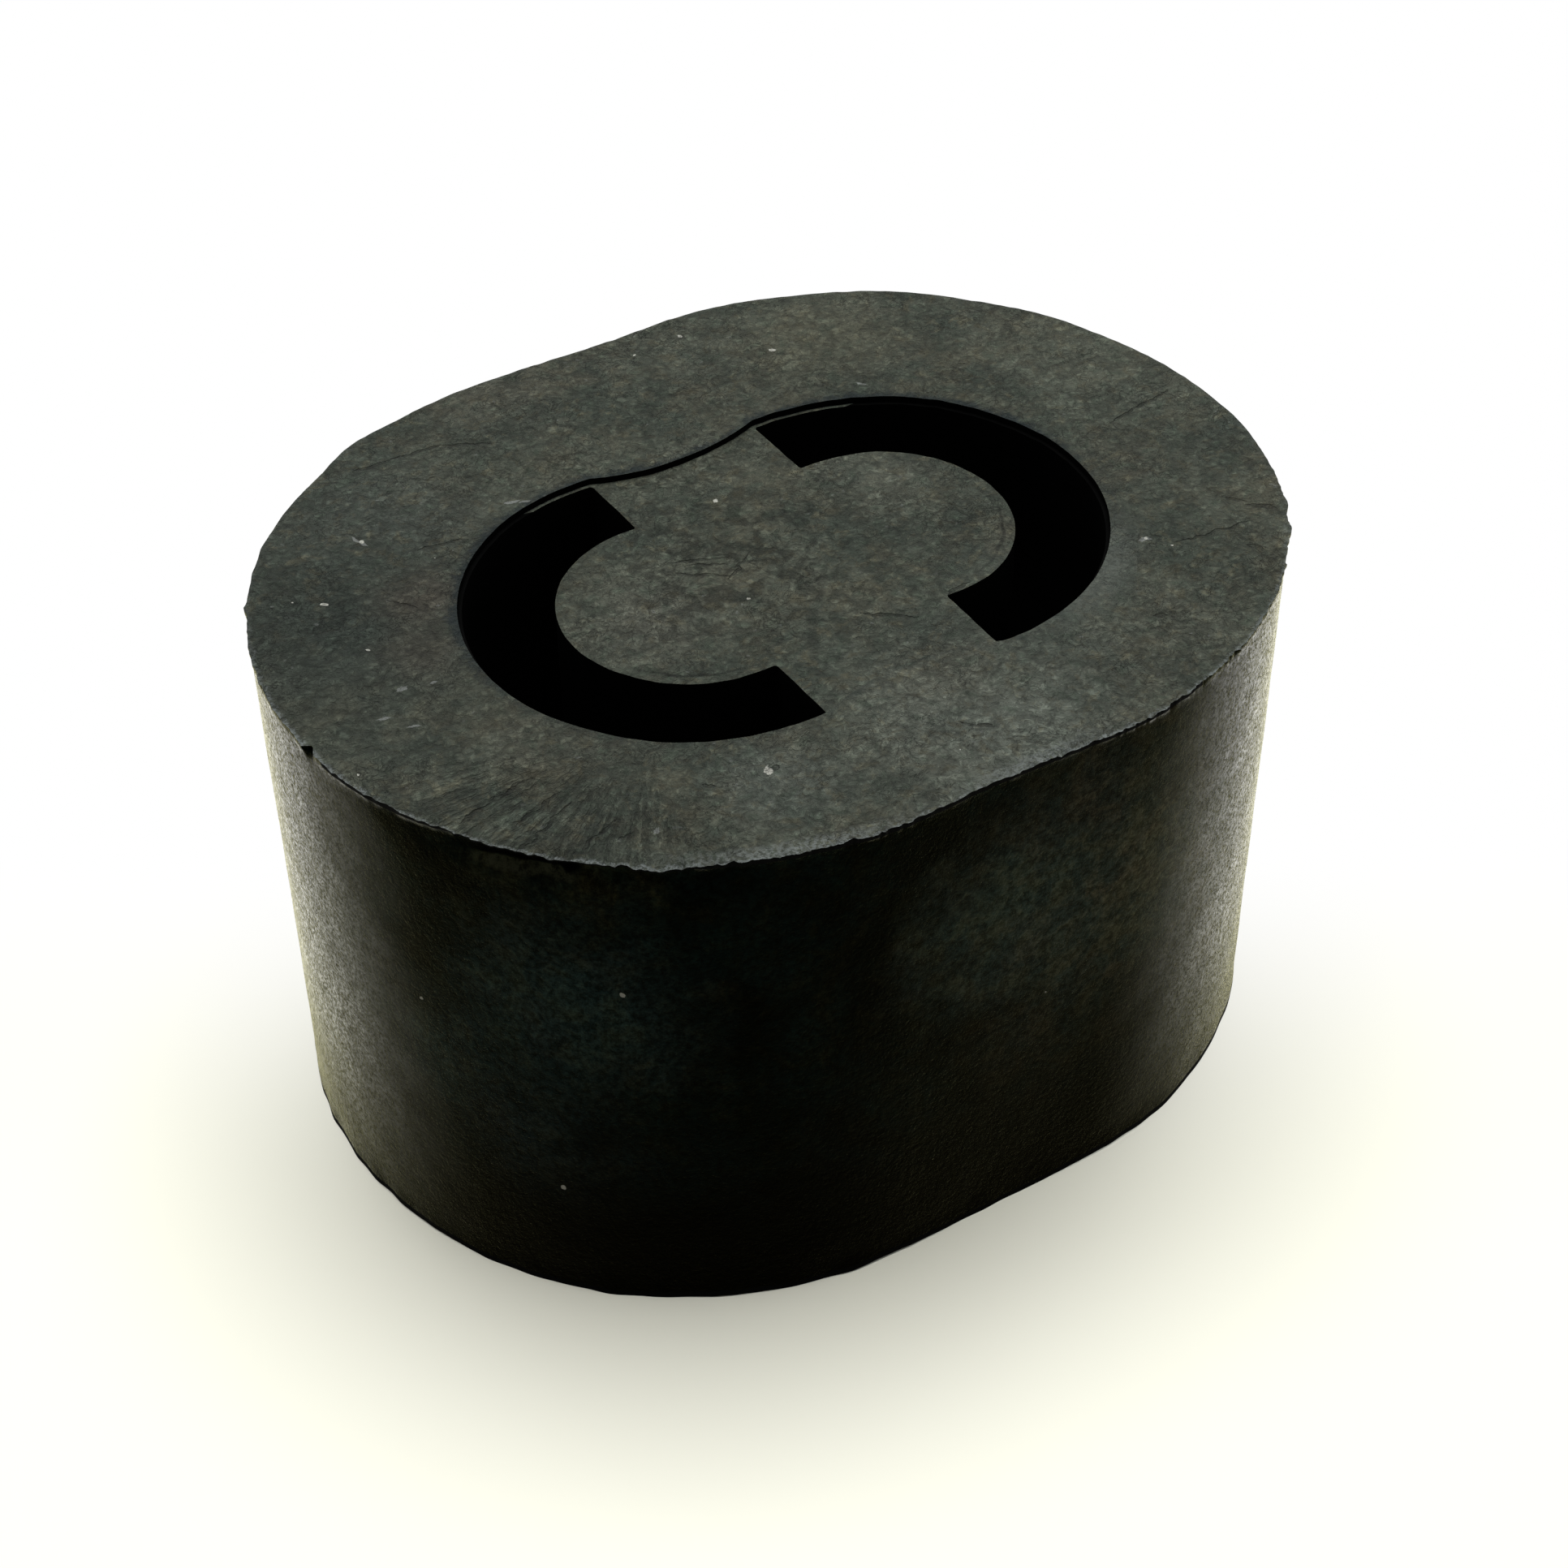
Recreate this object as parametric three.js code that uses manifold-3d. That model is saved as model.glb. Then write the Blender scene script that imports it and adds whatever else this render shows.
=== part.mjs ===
// Exhaust hanger rubber: one thick block of black rubber with two C-shaped slots.
// A bracket on the car goes through one slot and the hanger of the exhaust pipe through
// the other, and the waisted core between them carries the load on its two webs.
// Millimetres, +Z up. The block lies flat on its face, with its foot at z = 0.

import * as THREE from 'three';
import { mergeVertices, toCreasedNormals } from 'three/addons/utils/BufferGeometryUtils.js';
import Module from 'manifold-3d';

const wasm = await Module();
wasm.setup();

// Driving dimensions

const LENGTH = 65;          // over the two round ends
const WIDTH = 51.6;         // over the two straight flanks, which is also twice the end radius
const HEIGHT = 35.4;        // from face to face

const LOBE_RADIUS = 8.1;    // each round lobe of the core
const LOBE_SPACING = 13.8;  // from the middle of one lobe to the middle of the other
const CORE_SETBACK = 1.6;   // how far the core lies off the middle of the block, towards -Y

const SLOT_WIDTH = 5.55;    // radial width of each C-shaped slot
const WEB_WIDTH = 12;       // each web, between the flat ends of the two slots
const SLOT_CORNER = 0.4;    // fillet in each corner of a slot

const RECESS_DEPTH = 0.45;  // how far the core lies below the ring around it, on both faces
const RECESS_LEDGE = 0.25;  // strip of the recess that lies outside each slot
const WAIST_DIP = 1.3;      // how far the rim of the recess bows inwards over each web

const CHORD_ERROR = 0.02;   // largest gap between an arc and its facets

const RUBBER = new THREE.MeshStandardMaterial({
  name: 'rubber',
  color: 0x3a3d37,
  roughness: 0.78,
  metalness: 0,
});

// Sizes that follow from them

const END_RADIUS = WIDTH / 2;
const END_CENTRE = LENGTH / 2 - END_RADIUS;
const LOBE_CENTRE = LOBE_SPACING / 2;
const SLOT_RADIUS = LOBE_RADIUS + SLOT_WIDTH;
const WEB_HALF = WEB_WIDTH / 2;
const RECESS_RADIUS = SLOT_RADIUS + RECESS_LEDGE;
const OVERCUT = 1;          // how far a cutting tool stands out of the face that it cuts

// Points along an arc, from one angle to the other, fine enough for the chord error.
function arc(x, y, radius, from, to) {
  const step = 2 * Math.acos(1 - Math.min(CHORD_ERROR / radius, 1));
  const count = Math.max(3, Math.ceil(Math.abs(to - from) / step));
  const points = [];
  for (let i = 0; i <= count; i += 1) {
    const angle = from + (to - from) * i / count;
    points.push(new THREE.Vector2(x + radius * Math.cos(angle), y + radius * Math.sin(angle)));
  }
  return points;
}

// The same points turned half a turn about the middle of the core.
function halfTurn(points) {
  return points.map((point) => new THREE.Vector2(-point.x, -point.y));
}

// A closed shape through the points, without the doubles where two arcs meet.
function closedShape(points) {
  const apart = 1e-6;
  const kept = points.filter((point, i) => {
    const before = points[(i + points.length - 1) % points.length];
    return point.distanceTo(before) > apart;
  });
  return new THREE.Shape(kept);
}

// The block's outline: two half circles joined by straight flanks.
function blockOutline() {
  const end = arc(END_CENTRE, 0, END_RADIUS, -Math.PI / 2, Math.PI / 2);
  return closedShape([...end, ...halfTurn(end)]);
}

// The slot at +X, about the middle of the core. Its outer wall and the lobe that it wraps
// share one centre, and its flat ends lie along the webs.
function slotOutline() {
  const cornerX = WEB_HALF + SLOT_CORNER;
  const reach = cornerX - LOBE_CENTRE;
  const outerY = Math.sqrt((SLOT_RADIUS - SLOT_CORNER) ** 2 - reach ** 2);
  const innerY = Math.sqrt((LOBE_RADIUS + SLOT_CORNER) ** 2 - reach ** 2);
  const outerAngle = Math.atan2(outerY, reach);
  const innerAngle = Math.atan2(innerY, reach);
  return closedShape([
    ...arc(LOBE_CENTRE, 0, SLOT_RADIUS, -outerAngle, outerAngle),
    ...arc(cornerX, outerY, SLOT_CORNER, outerAngle, Math.PI),
    ...arc(cornerX, innerY, SLOT_CORNER, Math.PI, Math.PI + innerAngle),
    ...arc(LOBE_CENTRE, 0, LOBE_RADIUS, innerAngle, -innerAngle),
    ...arc(cornerX, -innerY, SLOT_CORNER, Math.PI - innerAngle, Math.PI),
    ...arc(cornerX, -outerY, SLOT_CORNER, Math.PI, 2 * Math.PI - outerAngle),
  ]);
}

// The rim of the recess: an arc just outside each slot, and over each web a shallow arc
// that bows in towards the core.
function recessOutline() {
  const reach = WEB_HALF - LOBE_CENTRE;
  const endAngle = Math.acos(reach / RECESS_RADIUS);
  const endY = RECESS_RADIUS * Math.sin(endAngle);
  const waistRadius = (WEB_HALF ** 2 + WAIST_DIP ** 2) / (2 * WAIST_DIP);
  const waistY = endY - WAIST_DIP + waistRadius;
  const halfSpan = Math.asin(WEB_HALF / waistRadius);
  const side = [
    ...arc(LOBE_CENTRE, 0, RECESS_RADIUS, -endAngle, endAngle),
    ...arc(0, waistY, waistRadius, halfSpan - Math.PI / 2, -halfSpan - Math.PI / 2),
  ];
  return closedShape([...side, ...halfTurn(side)]);
}

// A closed solid between two heights, with any of the shapes above as its section.
function prism(shape, bottom, top) {
  const geometry = new THREE.ExtrudeGeometry(shape, { depth: top - bottom, bevelEnabled: false });
  return geometry.translate(0, 0, bottom);
}

function toManifold(geometry) {
  const bare = geometry.clone();
  bare.deleteAttribute('normal');
  bare.deleteAttribute('uv');
  const merged = mergeVertices(bare, 1e-5);
  return new wasm.Manifold(new wasm.Mesh({
    numProp: 3,
    vertProperties: new Float32Array(merged.attributes.position.array),
    triVerts: new Uint32Array(merged.index.array),
  }));
}

function toGeometry(solid) {
  const mesh = solid.getMesh();
  const geometry = new THREE.BufferGeometry();
  geometry.setAttribute('position', new THREE.BufferAttribute(mesh.vertProperties, 3));
  geometry.setIndex(new THREE.BufferAttribute(mesh.triVerts, 1));
  return geometry;
}

// The block is cut by four tools: a slot each side of the core, and a recess in each face.
function hangerBlock() {
  const slotPlus = prism(slotOutline(), -OVERCUT, HEIGHT + OVERCUT);
  const slotMinus = slotPlus.clone().rotateZ(Math.PI);
  const upperRecess = prism(recessOutline(), HEIGHT - RECESS_DEPTH, HEIGHT + OVERCUT);
  const lowerRecess = prism(recessOutline(), -OVERCUT, RECESS_DEPTH);

  let block = toManifold(prism(blockOutline(), 0, HEIGHT));
  for (const tool of [slotPlus, slotMinus, upperRecess, lowerRecess]) {
    tool.translate(0, -CORE_SETBACK, 0);
    block = block.subtract(toManifold(tool));
  }
  const mesh = new THREE.Mesh(toCreasedNormals(toGeometry(block), Math.PI / 6), RUBBER);
  mesh.name = 'hanger_block';
  return mesh;
}

const group = new THREE.Group();
group.name = 'exhaust_hanger_rubber';
group.add(hangerBlock());

export default group;
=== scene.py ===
import bmesh
import bpy
import numpy as np
from mathutils import Matrix, Vector


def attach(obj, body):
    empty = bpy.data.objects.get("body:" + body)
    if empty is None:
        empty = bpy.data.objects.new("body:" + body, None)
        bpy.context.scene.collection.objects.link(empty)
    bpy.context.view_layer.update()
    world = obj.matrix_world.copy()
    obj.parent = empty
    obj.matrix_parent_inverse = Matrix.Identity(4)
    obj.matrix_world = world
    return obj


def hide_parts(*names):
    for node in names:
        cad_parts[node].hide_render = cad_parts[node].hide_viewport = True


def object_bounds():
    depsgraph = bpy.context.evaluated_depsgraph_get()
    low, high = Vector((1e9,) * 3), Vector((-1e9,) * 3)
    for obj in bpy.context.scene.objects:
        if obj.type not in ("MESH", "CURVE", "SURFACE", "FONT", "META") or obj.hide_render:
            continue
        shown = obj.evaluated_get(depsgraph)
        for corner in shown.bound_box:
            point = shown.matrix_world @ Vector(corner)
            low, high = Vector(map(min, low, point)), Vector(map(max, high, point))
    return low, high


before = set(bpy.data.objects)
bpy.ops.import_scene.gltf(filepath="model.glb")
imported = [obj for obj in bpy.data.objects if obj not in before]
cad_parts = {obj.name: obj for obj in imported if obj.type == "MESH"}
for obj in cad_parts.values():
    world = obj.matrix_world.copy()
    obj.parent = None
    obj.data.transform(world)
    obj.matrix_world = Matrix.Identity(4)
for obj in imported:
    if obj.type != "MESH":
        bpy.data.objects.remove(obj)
cad_low, cad_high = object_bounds()

# The camera
# It looks down on one round end of the block from about 20 cm, as the photograph does.
# Azimuth 0 looks along +Y. The focal length is in pixels of the photograph's side.

MM = 0.001
PHOTO_SIDE = 1932
FOCAL_LENGTH = 3621
CAMERA_AZIMUTH = np.radians(-31.83)
CAMERA_ELEVATION = np.radians(40.35)
CAMERA_ROLL = np.radians(-0.75)
CAMERA_TARGET = Vector((1.02, 0.92, 15.0)) * MM
CAMERA_DISTANCE = 193.06 * MM


def camera_matrix(azimuth, elevation, roll, target, distance):
    """Stands back from the target along (sin a cos e, -cos a cos e, sin e), turned by roll."""
    back = Vector((
        np.sin(azimuth) * np.cos(elevation),
        -np.cos(azimuth) * np.cos(elevation),
        np.sin(elevation),
    ))
    level_right = Vector((0, 0, 1)).cross(back).normalized()
    level_up = back.cross(level_right)
    right = level_right * np.cos(roll) + level_up * np.sin(roll)
    up = level_up * np.cos(roll) - level_right * np.sin(roll)
    matrix = Matrix((right, up, back)).transposed().to_4x4()
    matrix.translation = target + back * distance
    return matrix


camera_data = bpy.data.cameras.new("camera")
camera_data.sensor_width = 36
camera_data.lens = camera_data.sensor_width * FOCAL_LENGTH / PHOTO_SIDE
camera_data.clip_start = 10 * MM
camera = bpy.data.objects.new("camera", camera_data)
camera.matrix_world = camera_matrix(
    CAMERA_AZIMUTH, CAMERA_ELEVATION, CAMERA_ROLL, CAMERA_TARGET, CAMERA_DISTANCE
)
bpy.context.scene.collection.objects.link(camera)
bpy.context.scene.camera = camera

# The hanger block
# One piece of black rubber: a long moulding with two C-shaped slots through it, cut to
# length with a blade. The core between the slots hangs on two webs and lies a little
# below the ring around it. Sizes are in millimetres until the mesh is made.

BLOCK_LENGTH, BLOCK_WIDTH, BLOCK_HEIGHT = (cad_high - cad_low) / MM
END_RADIUS = BLOCK_WIDTH / 2
END_CENTRE = BLOCK_LENGTH / 2 - END_RADIUS
LOBE_RADIUS = 8.1
LOBE_CENTRE = 6.9
CORE_SETBACK = 1.6
SLOT_RADIUS = LOBE_RADIUS + 5.55
SLOT_CORNER = 0.25
WEB_HALF = 6.0
RECESS_DEPTH = 0.45
RECESS_RADIUS = SLOT_RADIUS + 0.25
WAIST_DIP = 1.3

END_STEPS = 400      # cells round each end of the ring, closest at the front
FLANK_STEPS = 56     # cells along each flank, and across each web
CORNER_STEPS = 5     # cells round each corner of a slot
FLAT_STEPS = 14      # cells along each flat end of a slot
LOBE_STEPS = 96      # cells round each lobe of the core
LOBE_COLUMNS = 20    # cells across each lobe
WALL_ROWS = 34       # cells down the outer wall
UPPER_COLUMNS = 26   # cells across the ring's upper face
LOWER_COLUMNS = 7    # cells across its lower face
SLOT_ROWS = 5        # cells down the walls of the slots
FRONT_CROWDING = 0.2  # how much closer the cells stand at the front, up to 0.3
WELD_DISTANCE = 0.001  # points of two patches that are nearer than this become one
SHARP_ANGLE = np.radians(38)  # steeper corners are shaded sharp

CUT, MOULDED, DARKEST = range(3)  # the finishes: cut faces, outer skin, and the darkest: walls of the slots and the step, also laid as painted shade at the foot, under the near edge and on the unlit ledge
FOOT_SHADE_STRIP = 0.45    # height of the strip of painted shade, in the darkest finish, at the foot
UNDER_EDGE_SHADE = 0.2     # height of the strip of painted shade, in the darkest finish, right under the torn near edge
UNDER_SHADE_FROM = 17.0     # how far out towards the near side that strip begins
NEAR_SIDE = (-0.42, -0.91)  # the level direction that the torn edge faces
LIT_MIDDLE, LIT_HALF = 1.0, 12.0  # the stretch along X of the back ledge that catches light and keeps the cut finish; the rest of the ledge is painted shade

# Shreds that stand out of the torn edge: place, height and reach
SHREDS = (
    ((-28.6, 14.9), 0.42, 0.50), ((-30.1, 11.7), 0.38, 0.42), ((-27.0, 17.0), 0.22, 0.7),
    ((28.9, -14.0), 0.30, 0.8), ((27.3, -16.2), 0.34, 0.7), ((-21.4, -21.9), 0.22, 0.9),
    ((-16.9, 24.0), 0.30, 2.6),
)
NOTCH = np.array((-32.5, -2.4, BLOCK_HEIGHT - 0.15))  # a bite out of the edge
NOTCH_STRETCH = np.array((1, 1, 2))  # heights count double, so it is wider than high
TORN_HOLLOW = (-25.0, -18.0)  # where the blade tore the skin under the near edge
CLEFT = (-21.2, -22.3)  # where the near edge sinks


def arc(x, y, radius, start, stop, steps, crowding=0.0):
    """Points (x + radius cos a, y + radius sin a), a going from start to stop in steps. With
    t from 0 to 1 the share of the way is t - crowding sin(pi t), closer at the start."""
    share = np.linspace(0, 1, steps + 1)
    angle = start + (stop - start) * (share - crowding * np.sin(np.pi * share))
    return np.stack([x + radius * np.cos(angle), y + radius * np.sin(angle)], axis=1)


def outer_loop():
    """Two half circles about (+-END_CENTRE, 0) and the straight flanks between them."""
    right, left = [
        arc(END_CENTRE, 0, END_RADIUS, -np.pi / 2, np.pi / 2, END_STEPS, side * FRONT_CROWDING)
        for side in (1, -1)
    ]
    flank = np.linspace(right[-1], -right[0], FLANK_STEPS + 1)
    return np.vstack([right[:-1], flank[:-1], -left[:-1], -flank[:-1]])


def rim_loop(side):
    """About the core: arcs just outside the slots, and arcs over the webs that dip inwards."""
    end_angle = np.arccos((WEB_HALF - LOBE_CENTRE) / RECESS_RADIUS)
    end_y = RECESS_RADIUS * np.sin(end_angle)
    waist_radius = (WEB_HALF**2 + WAIST_DIP**2) / (2 * WAIST_DIP)
    waist_y = end_y - WAIST_DIP + waist_radius
    half_span = np.arcsin(WEB_HALF / waist_radius)
    end = arc(
        LOBE_CENTRE, 0, RECESS_RADIUS, -end_angle, end_angle, END_STEPS, side * FRONT_CROWDING
    )
    waist = arc(
        0, waist_y, waist_radius, half_span - np.pi / 2, -half_span - np.pi / 2, FLANK_STEPS
    )
    return end, waist


def slot_lines(side):
    """The slot at +X: its outer wall, then its inner wall, each with a fillet at both ends.
    Side is -1 for the slot that is turned half round to -X, and only moves the cells."""
    corner_x = WEB_HALF + SLOT_CORNER
    reach = corner_x - LOBE_CENTRE
    outer_y = np.sqrt((SLOT_RADIUS - SLOT_CORNER) ** 2 - reach**2)
    inner_y = np.sqrt((LOBE_RADIUS + SLOT_CORNER) ** 2 - reach**2)
    outer_angle = np.arctan2(outer_y, reach)
    inner_angle = np.arctan2(inner_y, reach)
    outer = np.vstack([
        arc(corner_x, -outer_y, SLOT_CORNER, np.pi, 2 * np.pi - outer_angle, CORNER_STEPS)[:-1],
        arc(
            LOBE_CENTRE, 0, SLOT_RADIUS, -outer_angle, outer_angle, END_STEPS - 2 * CORNER_STEPS,
            side * FRONT_CROWDING,
        ),
        arc(corner_x, outer_y, SLOT_CORNER, outer_angle, np.pi, CORNER_STEPS)[1:],
    ])
    inner = np.vstack([
        arc(corner_x, inner_y, SLOT_CORNER, np.pi, np.pi + inner_angle, CORNER_STEPS)[:-1],
        arc(LOBE_CENTRE, 0, LOBE_RADIUS, inner_angle, -inner_angle, LOBE_STEPS - 2 * CORNER_STEPS),
        arc(corner_x, -inner_y, SLOT_CORNER, np.pi - inner_angle, np.pi, CORNER_STEPS)[1:],
    ])
    return outer, inner


def at_height(points, z):
    """The flat points, lifted to the height z."""
    return np.concatenate([points, np.full(points.shape[:-1] + (1,), z)], axis=-1)


def between(first, last, fractions):
    """Rows (1 - f) first + f last, one for each fraction f."""
    f = np.asarray(fractions)[:, None, None]
    return (1 - f) * first + f * last


def graded(steps, fine_start, fine_end):
    """Fractions from 0 to 1 whose step grows from fine_start x even to even and back down."""
    share = (np.arange(steps) + 0.5) / steps
    start = fine_start + (1 - fine_start) * np.clip(share / 0.25, 0, 1) ** 1.5
    end = fine_end + (1 - fine_end) * np.clip((1 - share) / 0.25, 0, 1) ** 1.5
    edges = np.concatenate([[0], np.cumsum(start * end)])
    return edges / edges[-1]


def sheet_faces(rows, columns, closed):
    """Quads of a grid of rows x columns points. A closed grid joins its last column to its
    first."""
    index = np.arange(rows * columns).reshape(rows, columns)
    if closed:
        index = np.hstack([index, index[:, :1]])
    corners = [index[:-1, :-1], index[1:, :-1], index[1:, 1:], index[:-1, 1:]]
    return np.stack(corners, axis=-1).reshape(-1, 4)


def block_patches():
    """Every wall and face of the block as a list of (grid of points, closed, finish)."""
    outer = outer_loop()
    core = np.array([0, -CORE_SETBACK])
    rim_end, rim_waist = rim_loop(1)
    rim_end_left = rim_loop(-1)[0]
    rim = np.vstack([rim_end[:-1], rim_waist[:-1], -rim_end_left[:-1], -rim_waist[:-1]]) + core
    slot_outer, slot_inner = slot_lines(1)
    flat_back = np.linspace(slot_outer[-1], slot_inner[0], FLAT_STEPS + 1)
    flat_front = np.linspace(slot_inner[-1], slot_outer[0], FLAT_STEPS + 1)

    # The floor of the recess, about the middle of the core: a strip over the core and both
    # webs, a lobe each side of it, and the ledge outside each slot.
    side_y = np.concatenate([
        [rim_end[-1, 1]], flat_back[:, 1], slot_inner[1:-1, 1], flat_front[:, 1], [rim_end[0, 1]],
    ])
    inner_y = slot_inner[0, 1]
    over_web = np.clip((np.abs(side_y) - inner_y) / (rim_end[-1, 1] - inner_y), 0, 1)[:, None]
    bow = rim_waist[:, 1][None, :] - rim_end[-1, 1]
    strip = np.stack([
        np.broadcast_to(rim_waist[:, 0], (len(side_y), FLANK_STEPS + 1)),
        side_y[:, None] + np.sign(side_y)[:, None] * over_web * bow,
    ], axis=-1)
    chord = np.stack([np.full(len(slot_inner), WEB_HALF), slot_inner[:, 1]], axis=1)
    lobe = between(chord, slot_inner, np.linspace(0, 1, LOBE_COLUMNS + 1))

    top, bottom = BLOCK_HEIGHT, 0
    core_top, core_bottom = top - RECESS_DEPTH, bottom + RECESS_DEPTH
    wall = between(at_height(outer, top), at_height(outer, bottom), graded(WALL_ROWS, 0.1, 0.3))
    upper = between(
        at_height(outer, top), at_height(rim, top), graded(UPPER_COLUMNS, 0.2, 0.6)
    )
    lower = between(
        at_height(outer, bottom), at_height(rim, bottom), graded(LOWER_COLUMNS, 0.3, 0.6)
    )
    # Strips of painted shade in the darkest finish: at the foot and right under the torn near edge
    foot = wall[:-1, :, 2] < FOOT_SHADE_STRIP
    torn_painted_light = (wall[:-1, :, 2] > top - UNDER_EDGE_SHADE) & (wall[:-1, :, :2] @ NEAR_SIDE > UNDER_SHADE_FROM)
    patches = [
        (wall, True, np.where(foot | torn_painted_light, DARKEST, MOULDED).ravel()),
        (upper, True, CUT), (lower, True, CUT),
    ]
    for face, floor in ((top, core_top), (bottom, core_bottom)):
        step = between(at_height(rim, face), at_height(rim, floor), [0, 1])
        patches.append((step, True, DARKEST))
        patches.append((at_height(strip + core, floor), False, CUT))
        for side in (1, -1):
            patches.append((at_height(side * lobe + core, floor), False, CUT))
            shelf = side * between(rim_loop(side)[0], slot_lines(side)[0], [0, 1]) + core
            # The ledge keeps the cut finish only in the lit stretch at the back; elsewhere it gets
            # the darkest finish as painted shade
            lit = (shelf[0, :-1, 1] > 0) & (np.abs(shelf[0, :-1, 0] - LIT_MIDDLE) < LIT_HALF)
            patches.append((at_height(shelf, floor), False, np.where(lit, CUT, DARKEST)))
    for side in (1, -1):
        for line in (slot_lines(side)[0], flat_back, slot_inner, flat_front):
            upper = at_height(side * line + core, core_top)
            lower = at_height(side * line + core, core_bottom)
            patches.append((between(upper, lower, graded(SLOT_ROWS, 0.5, 0.5)), False, DARKEST))
    return patches


def waves(points, size, seed, count=28):
    """Smooth random heights of spread 1: sine waves of about that size, in all directions."""
    rng = np.random.default_rng(seed)
    direction = rng.normal(size=(count, points.shape[1]))
    direction /= np.linalg.norm(direction, axis=1, keepdims=True)
    length = size * rng.uniform(0.6, 1.7, count)
    phase = rng.uniform(0, 2 * np.pi, count)
    angle = points @ (2 * np.pi * direction / length[:, None]).T + phase
    return np.sin(angle).sum(axis=1) * np.sqrt(2 / count)


def smooth(value, low, high):
    """0 below low, 1 above high, 3t^2 - 2t^3 between them. Low may be above high."""
    t = np.clip((value - low) / (high - low), 0, 1)
    return t * t * (3 - 2 * t)


def near(points, place, reach):
    """exp(-(distance / reach)^2) from a place."""
    away = np.linalg.norm(points - np.array(place), axis=1)
    return np.exp(-((away / reach) ** 2))


def worn(points):
    """The block as it is after cutting and use. Each point moves along the outward direction
    of the outline and along Z by sums of waves and of small bumps near the named places."""
    x, y, z = points.T
    spine = np.clip(x, -END_CENTRE, END_CENTRE)
    away = np.stack([x - spine, y], axis=1)
    radius = np.maximum(np.linalg.norm(away, axis=1), 1e-6)
    outward = away / radius[:, None]
    depth = END_RADIUS - radius
    drop = BLOCK_HEIGHT - z
    skin = smooth(depth, 7, 1)
    flat = points[:, :2]

    # The moulded sides are never quite true, and the edges of the cut are ragged.
    push = -0.10 + 0.06 * waves(points * (1, 1, 0.3), 26, 1) + 0.012 * waves(points, 6, 2)
    push = push * skin
    front = smooth(y + 0.35 * x, 6, -14)
    edge = smooth(depth, 0.9, 0.1) * smooth(drop, 0.55, 0.1)
    lip = waves(flat, 0.35, 9) * 0.35 + waves(flat, 0.9, 3) * 0.5 + waves(flat, 2.6, 4) * 0.4
    push += edge * (0.03 + 0.05 * front + (0.006 + 0.06 * front) * lip)
    foot = smooth(z, 1.4, 0.1) * smooth(depth, 0.9, 0.1)
    push += foot * (0.06 + 0.03 * waves(flat, 3.0, 5))

    # Under the near edge the blade left a shallow hollow.
    sag = 0.25 * waves(flat, 3.0, 10)
    hollow = near(flat, TORN_HOLLOW, 6.0) * smooth(drop, 0.10, 0.4) * smooth(drop + sag, 1.9, 1.1)
    push -= 0.7 * hollow * skin

    # Torn shreds stand out at both ends, and a notch is missing on the left.
    for place, height, reach in SHREDS:
        push += height * near(flat, place, reach) * smooth(drop, 1.2, 0.2) * smooth(depth, 0.8, 0.1)
    push -= 0.6 * near(points * NOTCH_STRETCH, NOTCH * NOTCH_STRETCH, 0.40)

    # The cut faces are slightly wavy.
    cut = smooth(drop, 1.0, 0.6) + smooth(z, 1.0, 0.6)
    lift = cut * (0.035 * waves(flat, 9, 6) + 0.012 * waves(flat, 1.6, 7) - 0.05)
    lift += edge * (0.008 + 0.045 * front) * (waves(flat, 1.1, 8) - 0.6)
    lift -= 0.3 * edge * near(flat, CLEFT, 1.2)
    lift = np.where(z > BLOCK_HEIGHT / 2, lift, -lift)

    moved = points + lift[:, None] * np.array([0, 0, 1])
    moved[:, :2] += push[:, None] * outward
    return np.clip(moved, np.array(cad_low) / MM, np.array(cad_high) / MM)


def make_block():
    """Welds the patches into one closed mesh in metres and turns its faces outwards."""
    points, faces, finishes, start = [], [], [], 0
    for grid, closed, finish in block_patches():
        rows, columns = grid.shape[:2]
        quads = sheet_faces(rows, columns, closed)
        points.append(grid.reshape(-1, 3))
        faces.append(quads + start)
        finishes.append(np.broadcast_to(finish, len(quads)).astype(np.int32))
        start += rows * columns
    mesh = bpy.data.meshes.new("rubber_block")
    mesh.from_pydata(np.vstack(points) * MM, [], np.vstack(faces))
    mesh.polygons.foreach_set("material_index", np.concatenate(finishes))
    form = bmesh.new()
    form.from_mesh(mesh)
    bmesh.ops.remove_doubles(form, verts=form.verts, dist=WELD_DISTANCE * MM)
    bmesh.ops.recalc_face_normals(form, faces=form.faces)
    form.to_mesh(mesh)
    form.free()
    place = np.empty(len(mesh.vertices) * 3)
    mesh.vertices.foreach_get("co", place)
    middle = np.array([cad_low[0] + cad_high[0], cad_low[1] + cad_high[1], 2 * cad_low[2]]) / 2
    mesh.vertices.foreach_set("co", (worn(place.reshape(-1, 3) / MM) * MM + middle).ravel())
    mesh.update()
    return mesh


block_mesh = make_block()
block_mesh.shade_smooth()
block_mesh.set_sharp_from_angle(angle=SHARP_ANGLE)
block = bpy.data.objects.new("rubber_block", block_mesh)
bpy.context.scene.collection.objects.link(block)

# The block's black rubber has two finishes: the grey, dull faces where the blade went through
# it, and the darker skin that the mould left on the sides and in the slots. The slots' darkest
# finish is also laid as painted shade at the foot, under the near edge and on most of the ledge.


def new_material(name):
    """An empty material with a Principled shader; returns it and its tree and shader."""
    material = bpy.data.materials.new(name)
    material.use_nodes = True
    tree = material.node_tree
    return material, tree, tree.nodes["Principled BSDF"]


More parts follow.
